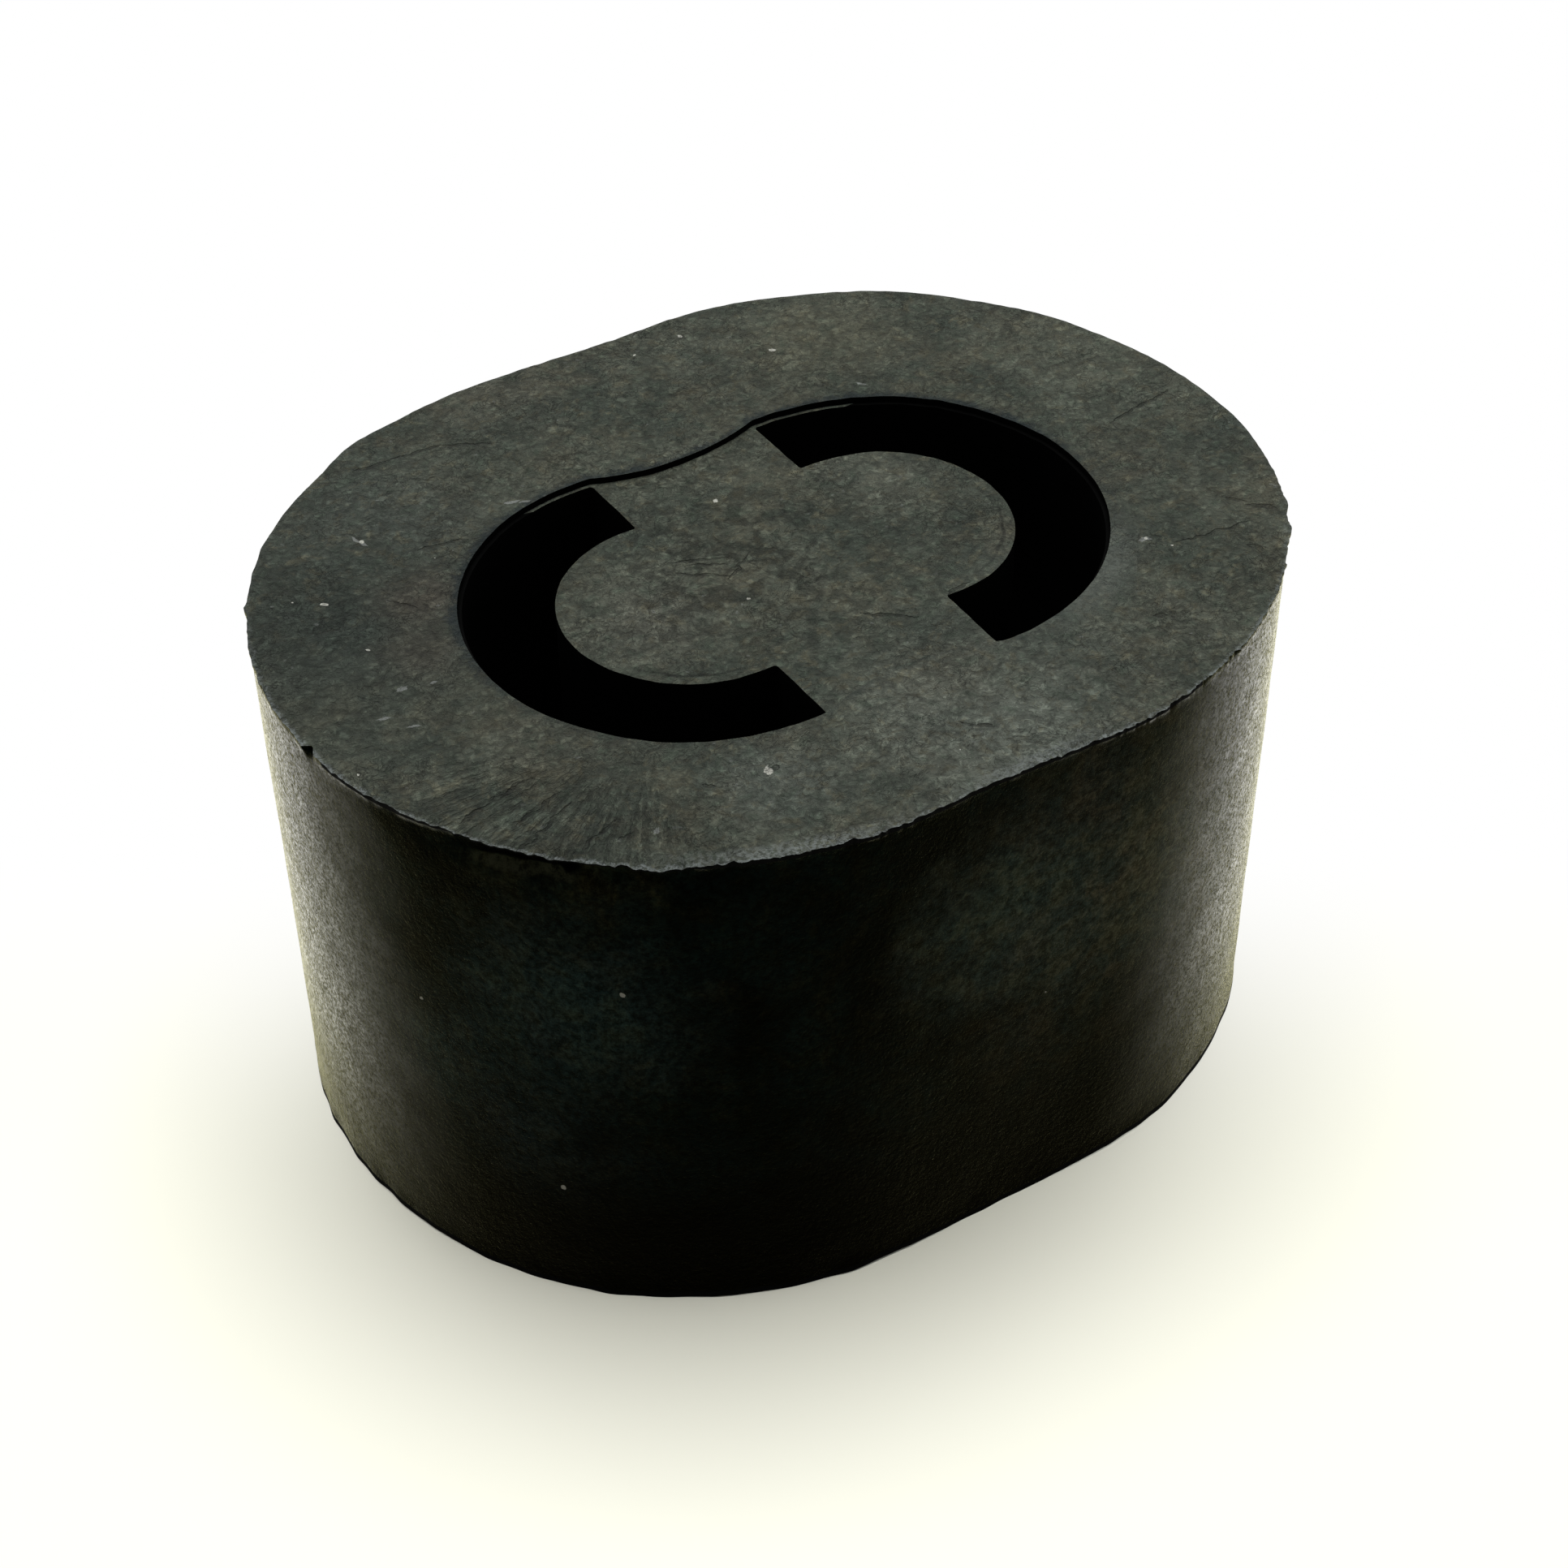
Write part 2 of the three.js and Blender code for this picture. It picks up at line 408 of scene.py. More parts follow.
def new_group(name, inputs, outputs):
    """An empty shader group with these sockets, each (name, type, default)."""
    tree = bpy.data.node_groups.new(name, "ShaderNodeTree")
    for way, sockets in (("INPUT", inputs), ("OUTPUT", outputs)):
        for socket, kind, default in sockets:
            made = tree.interface.new_socket(socket, in_out=way, socket_type="NodeSocket" + kind)
            if default is not None:
                made.default_value = default
    return tree, tree.nodes.new("NodeGroupInput"), tree.nodes.new("NodeGroupOutput")


def node(tree, kind, values=(), **settings):
    """A node with its settings, and its inputs set by number or name to values or linked."""
    made = tree.nodes.new("ShaderNode" + kind)
    for name, value in settings.items():
        setattr(made, name, value)
    for socket, value in dict(values).items():
        if isinstance(value, bpy.types.NodeSocket):
            tree.links.new(value, made.inputs[socket])
        else:
            made.inputs[socket].default_value = value
    return made


def calculate(tree, operation, *values):
    """One Math node; returns its result."""
    return node(tree, "Math", enumerate(values), operation=operation).outputs[0]


def times(tree, *values):
    """The product of several values."""
    result = values[0]
    for value in values[1:]:
        result = calculate(tree, "MULTIPLY", result, value)
    return result


def ramp(tree, value, low, high, start=0.0, end=1.0):
    """The value's range from low to high, smoothed into start to end."""
    inputs = {"Value": value, 1: low, 2: high, 3: start, 4: end}
    return node(tree, "MapRange", inputs, interpolation_type="SMOOTHSTEP").outputs[0]


def noise(tree, place, scale, detail=2.0, roughness=0.5, distortion=0.0):
    """A noise texture's height, about 0.5 on average."""
    inputs = {
        "Vector": place, "Scale": scale, "Detail": detail, "Roughness": roughness,
        "Distortion": distortion,
    }
    return node(tree, "TexNoise", inputs).outputs["Fac"]


def blend_colour(tree, share, first, second, way="MIX"):
    """Two colours mixed by a share."""
    made = node(tree, "Mix", {0: share}, data_type="RGBA", blend_type=way)
    for socket, value in ((6, first), (7, second)):
        if isinstance(value, bpy.types.NodeSocket):
            tree.links.new(value, made.inputs[socket])
        else:
            made.inputs[socket].default_value = (*value, 1)
    return made.outputs[2]


def millimetres(tree):
    """Object coordinates in millimetres."""
    place = node(tree, "TexCoord").outputs["Object"]
    return node(tree, "VectorMath", {0: place, "Scale": 1 / MM}, operation="SCALE").outputs[0]


def round_a_loop():
    """Group: where a point lies against a loop of two half circles and two straight sides.
    With s = x held within +-Middle, the outward direction is n = (x - s, y) / r. Depth is
    Radius - r, and Streak is (s, 0) + Radius n with r / 10 as its height, so that a noise on
    it runs outwards in rays."""
    tree, start, end = new_group(
        "round_a_loop",
        [("Place", "Vector", None), ("Middle", "Float", END_CENTRE),
         ("Radius", "Float", END_RADIUS), ("Centre", "Vector", None)],
        [("Streak", "Vector", None), ("Depth", "Float", None)],
    )
    place = node(
        tree, "VectorMath", {0: start.outputs["Place"], 1: start.outputs["Centre"]},
        operation="SUBTRACT",
    ).outputs[0]
    x, y = node(tree, "SeparateXYZ", {0: place}).outputs[:2]
    middle = start.outputs["Middle"]
    spine = node(tree, "Clamp", {0: x, 1: times(tree, middle, -1), 2: middle}).outputs[0]
    away = calculate(tree, "SUBTRACT", x, spine)
    flat = node(tree, "CombineXYZ", {0: away, 1: y}).outputs[0]
    radius = node(tree, "VectorMath", {0: flat}, operation="LENGTH").outputs["Value"]
    outward = node(tree, "VectorMath", {0: flat}, operation="NORMALIZE").outputs[0]
    reach = node(
        tree, "VectorMath", {0: outward, "Scale": start.outputs["Radius"]}, operation="SCALE"
    ).outputs[0]
    height = calculate(tree, "MULTIPLY", radius, 0.1)
    base = node(tree, "CombineXYZ", {0: spine, 2: height}).outputs[0]
    streak = node(tree, "VectorMath", {0: reach, 1: base}, operation="ADD").outputs[0]
    tree.links.new(streak, end.inputs["Streak"])
    depth = calculate(tree, "SUBTRACT", start.outputs["Radius"], radius)
    tree.links.new(depth, end.inputs["Depth"])
    return tree


def dust_specks():
    """Group: 1 inside small dots of the given radius, one in a share of cells of the given
    size, 0 elsewhere."""
    tree, start, end = new_group(
        "dust_specks",
        [("Place", "Vector", None), ("Cells", "Float", 0.5), ("Radius", "Float", 0.08),
         ("Share", "Float", 0.05)],
        [("Speck", "Float", None)],
    )
    cells = node(tree, "TexVoronoi", {
        "Vector": start.outputs["Place"], "Scale": start.outputs["Cells"],
    })
    radius = calculate(tree, "MULTIPLY", start.outputs["Radius"], start.outputs["Cells"])
    dot = calculate(tree, "LESS_THAN", cells.outputs["Distance"], radius)
    chance = node(tree, "SeparateColor", {0: cells.outputs["Color"]}).outputs[0]
    chosen = calculate(tree, "LESS_THAN", chance, start.outputs["Share"])
    tree.links.new(calculate(tree, "MULTIPLY", dot, chosen), end.inputs["Speck"])
    return tree


def near_place():
    """Group: 1 at a place, falling smoothly to 0 at Reach from it. Rise 0 leaves heights out."""
    tree, start, end = new_group(
        "near_place",
        [("Place", "Vector", None), ("Centre", "Vector", None), ("Reach", "Float", 1.0),
         ("Rise", "Float", 0.0)],
        [("Near", "Float", None)],
    )
    share = node(tree, "CombineXYZ", {0: 1, 1: 1, 2: start.outputs["Rise"]}).outputs[0]
    flat = node(tree, "VectorMath", {0: start.outputs["Place"], 1: share}, operation="MULTIPLY")
    away = node(
        tree, "VectorMath", {0: flat.outputs[0], 1: start.outputs["Centre"]}, operation="DISTANCE"
    ).outputs["Value"]
    share = calculate(tree, "DIVIDE", away, start.outputs["Reach"])
    tree.links.new(ramp(tree, share, 0, 1, 1, 0), end.inputs["Near"])
    return tree


def scratch_line():
    """Group: 1 on a straight scratch between two points of the face, 0 outside its width.
    The nearest point of the line lies at t = clamp((p - a).(b - a) / |b - a|^2, 0, 1)."""
    tree, start, end = new_group(
        "scratch_line",
        [("Place", "Vector", None), ("From", "Vector", None), ("To", "Vector", None),
         ("Width", "Float", 0.15)],
        [("Scratch", "Float", None)],
    )
    flat = node(tree, "VectorMath", {0: start.outputs["Place"], 1: (1, 1, 0)}, operation="MULTIPLY")
    away = node(
        tree, "VectorMath", {0: flat.outputs[0], 1: start.outputs["From"]}, operation="SUBTRACT"
    ).outputs[0]
    run = node(
        tree, "VectorMath", {0: start.outputs["To"], 1: start.outputs["From"]}, operation="SUBTRACT"
    ).outputs[0]
    dot = node(tree, "VectorMath", {0: away, 1: run}, operation="DOT_PRODUCT").outputs["Value"]
    square = node(tree, "VectorMath", {0: run, 1: run}, operation="DOT_PRODUCT").outputs["Value"]
    share = node(tree, "Clamp", {0: calculate(tree, "DIVIDE", dot, square)}).outputs[0]
    nearest = node(tree, "VectorMath", {0: run, "Scale": share}, operation="SCALE").outputs[0]
    gap = node(tree, "VectorMath", {0: away, 1: nearest}, operation="DISTANCE").outputs["Value"]
    from_middle = calculate(tree, "ABSOLUTE", calculate(tree, "SUBTRACT", share, 0.5))
    width = times(tree, start.outputs["Width"], ramp(tree, from_middle, 0.5, 0.2))
    scratch = ramp(tree, calculate(tree, "SUBTRACT", gap, width), 0.05, -0.03)
    tree.links.new(scratch, end.inputs["Scratch"])
    return tree


def shaken(tree, place, scale, reach):
    """The place, moved about by a noise of that scale by up to about a third of reach."""
    push = node(tree, "TexNoise", {"Vector": place, "Scale": scale, "Detail": 3.0}).outputs["Color"]
    push = node(tree, "VectorMath", {0: push, 1: (0.5, 0.5, 0.5)}, operation="SUBTRACT").outputs[0]
    push = node(tree, "VectorMath", {0: push, "Scale": reach}, operation="SCALE").outputs[0]
    return node(tree, "VectorMath", {0: place, 1: push}, operation="ADD").outputs[0]


def place_group(tree, group, **inputs):
    """One use of a shader group; spaces in its input names are given as underscores."""
    made = tree.nodes.new("ShaderNodeGroup")
    made.node_tree = group
    for name, value in inputs.items():
        socket = made.inputs[name.replace("_", " ")]
        if isinstance(value, bpy.types.NodeSocket):
            tree.links.new(value, socket)
        else:
            socket.default_value = value
    return made


def highest(tree, values):
    """The largest of several values."""
    result = values[0]
    for value in values[1:]:
        result = calculate(tree, "MAXIMUM", result, value)
    return result


ROUND_A_LOOP = round_a_loop()
DUST_SPECKS = dust_specks()
NEAR_PLACE = near_place()
SCRATCH_LINE = scratch_line()

# The cut face: its ground, its spots, the painted shade fringe and the paler band by the slots, the
# rim with its painted highlight
CUT_COLD, CUT_MILD, CUT_WARM = (0.034, 0.041, 0.032), (0.062, 0.068, 0.052), (0.060, 0.060, 0.043)
WARM_SPOTS, GREEN_SPOTS = (0.070, 0.066, 0.042), (0.038, 0.051, 0.037)
FRINGE_SHADE_COLOUR, PALE_BAND_COLOUR = (0.008, 0.013, 0.015), (0.088, 0.100, 0.088)
PALE_RIM_HIGHLIGHT, TORN_RIM_HIGHLIGHT = (0.125, 0.138, 0.128), (0.135, 0.150, 0.145)
SLIVER_HIGHLIGHT_COLOUR, FACE_GRIT_COLOUR = (0.170, 0.180, 0.170), (0.45, 0.45, 0.40)
# The skin: its ground, its spots, the painted highlight on the fold and the painted shadow in the
# gap under the near edge, the slots
SKIN_BLACK, SKIN_BLUE = (0.0002, 0.0006, 0.0005), (0.0012, 0.0028, 0.0025)
SKIN_SPOTS, SKIN_GRIT_COLOUR = (0.0065, 0.0062, 0.0030), (0.3, 0.29, 0.26)
COLD_TINT, WARM_TINT = (0.86, 1.0, 1.08), (1.14, 1.0, 0.84)
COLD_DRIFT, WARM_DRIFT = (0.94, 1.01, 0.97), (1.08, 0.99, 0.94)
FOLD_HIGHLIGHT_COLOUR, GAP_SHADOW_COLOUR = (0.019, 0.020, 0.012), (0.0002, 0.0002, 0.0002)
SLOT_DARK, SLOT_LIGHT = (0.0004, 0.0005, 0.0005), (0.0012, 0.0012, 0.0011)

# Scratches from the blade, creases and cracks, cut into the bump and painted darker as painted
# shade: from, to and half width in millimetres
CREASES = (
    ((-28.3, -12.6), (-26.2, -12.2), 0.17), ((-26.3, -12.2), (-23.5, -11.3), 0.14),
    ((-25.6, -14.5), (-22.2, -13.3), 0.13), ((-25.9, -16.3), (-22.2, -14.3), 0.10),
    ((-21.6, -18.7), (-20.6, -18.4), 0.15), ((-15.3, -17.0), (-14.8, -17.6), 0.14),
    ((-23.4, -18.1), (-20.7, -16.8), 0.07), ((-18.3, 21.0), (-15.3, 20.85), 0.14),
    ((-15.6, 20.85), (-11.8, 20.6), 0.12), ((-12.2, 20.7), (-9.4, 19.1), 0.08),
    ((25.2, -0.6), (30.6, 0.4), 0.10), ((-6.0, 2.4), (-2.9, 0.8), 0.08),
    ((-5.2, 1.5), (-3.3, 0.2), 0.07), ((-6.3, 1.1), (-3.7, -1.0), 0.10),
    ((-4.0, -1.1), (-1.6, 0.3), 0.08), ((26.4, -12.4), (27.9, -13.8), 0.20),
    ((25.9, -11.0), (26.8, -12.2), 0.10), ((24.0, -15.8), (24.5, -16.7), 0.20),
    ((20.4, -13.3), (25.4, -13.9), 0.07),
    ((14.7, -18.3), (15.6, -18.8), 0.16), ((-0.5, -20.2), (1.0, -21.6), 0.12),
    ((0.9, -8.2), (3.4, -10.4), 0.12), ((6.1, -9.6), (8.1, -9.4), 0.14),
    ((-22.3, 7.9), (-21.3, 6.2), 0.09), ((-18.6, 11.2), (-16.0, 10.9), 0.11),
    ((-11.8, -17.9), (-11.0, -18.1), 0.14),
)
# Torn slivers of rubber, painted pale as a painted highlight where they catch the light: from, to
# and half width
SLIVERS = (
    ((-21.5, 14.8), (-20.8, 13.2), 0.12), ((-11.9, 12.8), (-10.8, 12.6), 0.13),
    ((-11.2, 12.3), (-10.4, 12.2), 0.11), ((-25.8, -0.4), (-25.1, -0.5), 0.12),
    ((-24.0, -0.7), (-23.4, -0.9), 0.10), ((-28.0, -2.3), (-27.2, -2.6), 0.09),
    ((-26.8, -3.6), (-26.0, -3.9), 0.11), ((18.6, -11.9), (19.6, -12.15), 0.17),
    ((14.0, 12.3), (14.5, 11.6), 0.09), ((-19.7, -19.1), (-19.2, -18.8), 0.14),
)
# Grit stuck to the cut face and to the skin: place and radius
FACE_GRIT = (
    ((19.14, -12.0, 0), 0.18), ((-25.85, 9.35, 0), 0.20), ((-25.54, 3.89, 0), 0.14),
    ((-0.15, 6.35, 0), 0.14), ((-11.69, -17.96, 0), 0.24), ((11.67, 18.7, 0), 0.18),
    ((7.25, 23.42, 0), 0.16), ((-3.92, -3.55, 0), 0.10), ((-20.94, 13.82, 0), 0.16),
)
SKIN_GRIT = (
    ((-22.8, -20.2, 25.6), 0.20), ((7.1, -25.8, 21.4), 0.20), ((-9.2, -25.7, 15.2), 0.22),
    ((-26.0, -17.1, 8.9), 0.24), ((-30.4, -9.9, 21.0), 0.14),
)
# Patches of the skin and of the cut face: place, reach, share and colour
SKIN_PATCHES = (
    ((-25, -17, 24), 11.0, 1.20, (0.0072, 0.0118, 0.0112)),
    ((-27, -15, 12), 9.0, 0.90, (0.0062, 0.0102, 0.0112)),
    ((-30, -11, 18), 6.0, 0.90, (0.0075, 0.0125, 0.0130)),
    ((8, -26, 24), 17.0, 0.80, (0.0255, 0.0272, 0.0222)),
    ((21, -22, 16), 14.0, 0.70, (0.0260, 0.0262, 0.0205)),
    ((2, -26, 12), 9.0, 0.60, (0.0125, 0.0125, 0.0090)),
    ((-1, -26, 25), 10.0, 0.70, (0.0185, 0.0250, 0.0215)),
    ((-27.5, -15.2, 34.4), 4.0, 0.80, (0.0120, 0.0125, 0.0070)),
    ((-23.2, -19.8, 34.4), 3.5, 0.70, (0.0100, 0.0110, 0.0060)),
)
FACE_PATCHES = (
    ((2, -21), 14.0, 0.75, (0.088, 0.098, 0.082)), ((-26, 8), 18.0, 0.90, (0.0235, 0.0295, 0.0240)),
    ((28, 2), 12.0, 0.50, (0.078, 0.087, 0.067)), ((31, -5), 3.0, 0.65, (0.026, 0.034, 0.028)),
    ((-20.5, 7), 4.5, 0.75, (0.052, 0.048, 0.037)),
    ((3, -12.5), 6.0, 0.65, (0.030, 0.037, 0.030)),
    ((-18.5, -9.5), 7.0, 0.55, (0.066, 0.064, 0.048)), ((15, 18), 9.0, 0.55, (0.074, 0.076, 0.053)),
    ((-6, 24), 7.0, 0.50, (0.070, 0.069, 0.054)), ((2, -16), 5.0, 0.40, (0.072, 0.070, 0.052)),
    ((-1, 3), 5.0, 0.50, (0.046, 0.049, 0.036)), ((-10, -2), 6.0, 0.50, (0.080, 0.082, 0.066)),
    ((10, 3), 7.0, 0.55, (0.080, 0.086, 0.068)), ((-12, -19), 6.0, 0.60, (0.078, 0.089, 0.076)),
    ((-23, 2), 4.0, 0.60, (0.048, 0.045, 0.035)), ((23, -4), 4.0, 0.50, (0.054, 0.053, 0.040)),
    ((-19, 16), 9.0, 0.50, (0.044, 0.053, 0.046)),
)
RAY_CENTRE = (-15.1, -10.5, 0)  # the rays of the blade on the near left meet here
FOLD_PLACE = (-26.4, -16.4, 34.4)  # where the fold of skin along the hollow under the near edge gets its painted highlight and the gap above it its painted shadow


def cut_material():
    """Dull dark grey-green, mottled and crumbly, with rays near the edge, creases, a paler torn rim
    and a little grit. The relief is painted in too: raised grain and crumbs paler and hollows
    darker, as painted light and shade, a painted shade fringe and lip line by the slots, and
    painted highlights on the torn rim and slivers. One unit of height is a tenth of a millimetre."""
    material, tree, shader = new_material("cut_rubber")
    place = millimetres(tree)
    core = (0, -CORE_SETBACK, 0)
    depth = place_group(tree, ROUND_A_LOOP, Place=place).outputs["Depth"]
    in_slot = place_group(
        tree, ROUND_A_LOOP, Place=place, Middle=LOBE_CENTRE, Radius=RECESS_RADIUS, Centre=core
    ).outputs["Depth"]
    in_core = place_group(
        tree, ROUND_A_LOOP, Place=place, Middle=LOBE_CENTRE, Radius=LOBE_RADIUS, Centre=core
    ).outputs["Depth"]
    uneven = shaken(tree, place, 1.0, 1.0)

    def patch(centre, reach):
        return place_group(tree, NEAR_PLACE, Place=place, Centre=centre, Reach=reach).outputs[0]

    # Colour: cold and warm patches, and small warm and green spots
    patches = noise(tree, place, 0.13, 6, 0.66, 0.4)
    colour = blend_colour(tree, ramp(tree, patches, 0.38, 0.62), CUT_COLD, CUT_MILD)
    warmth = ramp(tree, noise(tree, place, 0.22, 5, 0.65), 0.46, 0.66, 0, 0.7)
    colour = blend_colour(tree, warmth, colour, CUT_WARM)
    for centre, reach, share, shade in FACE_PATCHES:
        here = times(tree, patch((*centre, 0), reach), share)
        here = times(tree, here, ramp(tree, patches, 0.3, 0.6, 0.6, 1.2))
        colour = blend_colour(tree, here, colour, shade)
    spots = noise(tree, place, 0.9, 4, 0.7, 0.5)
    lively = ramp(tree, patch((-27, 2, 0), 17.0), 0, 1, 0.52, 0.10)
    warm = times(tree, ramp(tree, spots, 0.51, 0.68), lively)
    green = times(tree, ramp(tree, spots, 0.49, 0.32), lively)
    colour = blend_colour(tree, warm, colour, WARM_SPOTS)
    colour = blend_colour(tree, green, colour, GREEN_SPOTS)

    # Relief: grain, crumbs, folds, rays on the near left, and creases
    grain = noise(tree, place, 2.0, 4, 0.70, 0.8)
    blotches = noise(tree, place, 0.6, 3, 0.6, 0.6)
    groups = ramp(tree, noise(tree, place, 0.3, 3, 0.6), 0.40, 0.65, 0.2, 1)
    crumbs = times(tree, ramp(tree, noise(tree, place, 3.2, 3, 0.6, 1.5), 0.58, 0.70), groups)
    folds = calculate(tree, "SUBTRACT", noise(tree, place, 0.8, 4, 0.6, 1.2), 0.5)
    folds = times(tree, ramp(tree, calculate(tree, "ABSOLUTE", folds), 0.0, 0.025, 1, 0), groups)
    rough = shaken(tree, place, 2.2, 0.45)
    fan = place_group(tree, ROUND_A_LOOP, Place=rough, Middle=0.0, Radius=13.0, Centre=RAY_CENTRE)
    rays = calculate(tree, "SUBTRACT", noise(tree, fan.outputs["Streak"], 2.2, 3, 0.65), 0.5)
    near_left = ramp(tree, patch((-25, -16, 0), 12.0), 0, 0.7, 0.08, 1)
    rays = times(tree, rays, near_left, ramp(tree, depth, 9.0, 3.0, 0.15, 1))
    creases = highest(tree, [
        place_group(
            tree, SCRATCH_LINE, Place=uneven, From=(*first, 0), To=(*last, 0), Width=width
        ).outputs[0]
        for first, last, width in CREASES
    ])
    height = times(tree, grain, 4.0)
    for form, rise in (
        (blotches, 2.0), (crumbs, 0.9), (folds, -0.8), (rays, 10.0), (creases, -2.2),
    ):
        height = calculate(tree, "MULTIPLY_ADD", form, rise, height)

    # Painted light and shade of the relief: raised grain and crumbs painted paler; low grain,
    # dents, folds and creases painted darker; the rays painted in light and dark stripes
    shade = ramp(tree, grain, 0.50, 0.66, 0.97, 1.70)
    dent_shade = ramp(tree, blotches, 0.56, 0.40)
    for mask, strength in (
        (ramp(tree, grain, 0.48, 0.34), 0.66), (dent_shade, 0.72),
        (crumbs, 1.65), (folds, 0.80), (creases, 0.58),
    ):
        shade = times(tree, shade, ramp(tree, mask, 0, 1, 1, strength))
    shade = times(tree, shade, ramp(tree, rays, -0.10, 0.10, 0.68, 1.28))
    # More painted shade in the dents of the core
    core_dent_shade = times(tree, dent_shade, patch((-3, 0, 0), 13.0))
    shade = times(tree, shade, ramp(tree, core_dent_shade, 0, 1, 1.05, 0.70))

    # Painted shade: a dark line along the rolled lip of the core and a dark fringe beside the
    # slots; and a paler band by the right slot
    inset = calculate(tree, "MULTIPLY_ADD", blotches, 0.8, in_core)
    lip = times(tree, ramp(tree, inset, 0.95, 1.10), ramp(tree, inset, 1.35, 1.15))
    lip = times(tree, lip, highest(tree, [patch((13, -7, 0), 7.0), patch((-11, -9, 0), 6.0)]))
    shade = times(tree, shade, ramp(tree, lip, 0, 0.8, 1, 0.45))
    across, along = node(tree, "SeparateXYZ", {0: place}).outputs[:2]
    square = times(tree, across, across)
    dip = calculate(tree, "MULTIPLY_ADD", square, -WAIST_DIP / WEB_HALF**2, WAIST_DIP)
    dip = calculate(tree, "MAXIMUM", dip, 0)
    outside = calculate(tree, "SUBTRACT", dip, in_slot)
    pale_band = times(tree, ramp(tree, outside, 3.0, 0.3), patch((15, -13, 0), 9.0))
    reach = calculate(tree, "MULTIPLY_ADD", noise(tree, place, 1.2, 4, 0.75), 2.2, outside)
    fringe_shade = times(
        tree, ramp(tree, reach, 1.9, 1.1), ramp(tree, outside, -0.10, 0.02),
        calculate(tree, "SUBTRACT", 1, pale_band), ramp(tree, along, -9, 4, 0.3, 1),
    )
    shade = node(tree, "CombineColor", {0: shade, 1: shade, 2: shade}).outputs[0]
    colour = blend_colour(tree, 1.0, colour, shade, "MULTIPLY")
    colour = blend_colour(tree, times(tree, fringe_shade, 0.80), colour, FRINGE_SHADE_COLOUR)
    colour = blend_colour(tree, times(tree, pale_band, 0.6), colour, PALE_BAND_COLOUR)

    # The paler torn rim of crumbly rubber with a painted highlight on it, the painted highlight of
    # the slivers, and the grit
    facing_out = node(tree, "VectorMath", {0: place, 1: (*NEAR_SIDE, 0)}, operation="DOT_PRODUCT")
    near_side = ramp(tree, facing_out.outputs["Value"], -2, 18, 0.1, 1)
    ragged = noise(tree, place, 1.3, 5, 0.8)
    crumbly = noise(tree, place, 3.4, 3, 0.7)
    torn_painted_light = ramp(tree, calculate(tree, "MULTIPLY_ADD", ragged, -1.2, depth), -0.26, -0.52)
    torn_painted_light = times(tree, torn_painted_light, near_side, ramp(tree, crumbly, 0.42, 0.56, 0.15, 1))
    pale = times(
        tree, ramp(tree, calculate(tree, "MULTIPLY_ADD", ragged, -1.0, depth), 0.9, 0.0),
        highest(tree, [patch((-14, -24, 0), 10.0), patch((1, -25, 0), 7.0)]),
        ramp(tree, crumbly, 0.42, 0.56, 0.1, 1),
    )
    colour = blend_colour(tree, pale, colour, PALE_RIM_HIGHLIGHT)
    colour = blend_colour(tree, torn_painted_light, colour, TORN_RIM_HIGHLIGHT)
    sliver_highlights = highest(tree, [
        place_group(
            tree, SCRATCH_LINE, Place=uneven, From=(*first, 0), To=(*last, 0), Width=width
        ).outputs[0]
        for first, last, width in SLIVERS
    ])
    flakes = place_group(tree, DUST_SPECKS, Place=uneven, Cells=1.3, Radius=0.13, Share=0.10)
    flakes = times(tree, flakes.outputs[0], 0.4, groups)
    sliver_highlights = highest(tree, [times(tree, sliver_highlights, 0.8), flakes])
    colour = blend_colour(tree, sliver_highlights, colour, SLIVER_HIGHLIGHT_COLOUR)
    specks = place_group(tree, DUST_SPECKS, Place=uneven, Cells=0.55, Radius=0.08, Share=0.05)
    grit = highest(tree, [specks.outputs[0]] + [
        ramp(
            tree,
            place_group(tree, NEAR_PLACE, Place=uneven, Centre=centre, Reach=2 * reach).outputs[0],
            0.4, 0.6,
        )
        for centre, reach in FACE_GRIT
    ])
    colour = blend_colour(tree, times(tree, grit, 0.8), colour, FACE_GRIT_COLOUR)

    bump = node(tree, "Bump", {"Height": height, "Distance": 0.1 * MM, "Strength": 1.0})
    tree.links.new(bump.outputs[0], shader.inputs["Normal"])
    tree.links.new(colour, shader.inputs["Base Color"])
    tree.links.new(ramp(tree, grain, 0.3, 0.7, 0.62, 0.82), shader.inputs["Roughness"])
    shader.inputs["Specular IOR Level"].default_value = 0.10
    return material


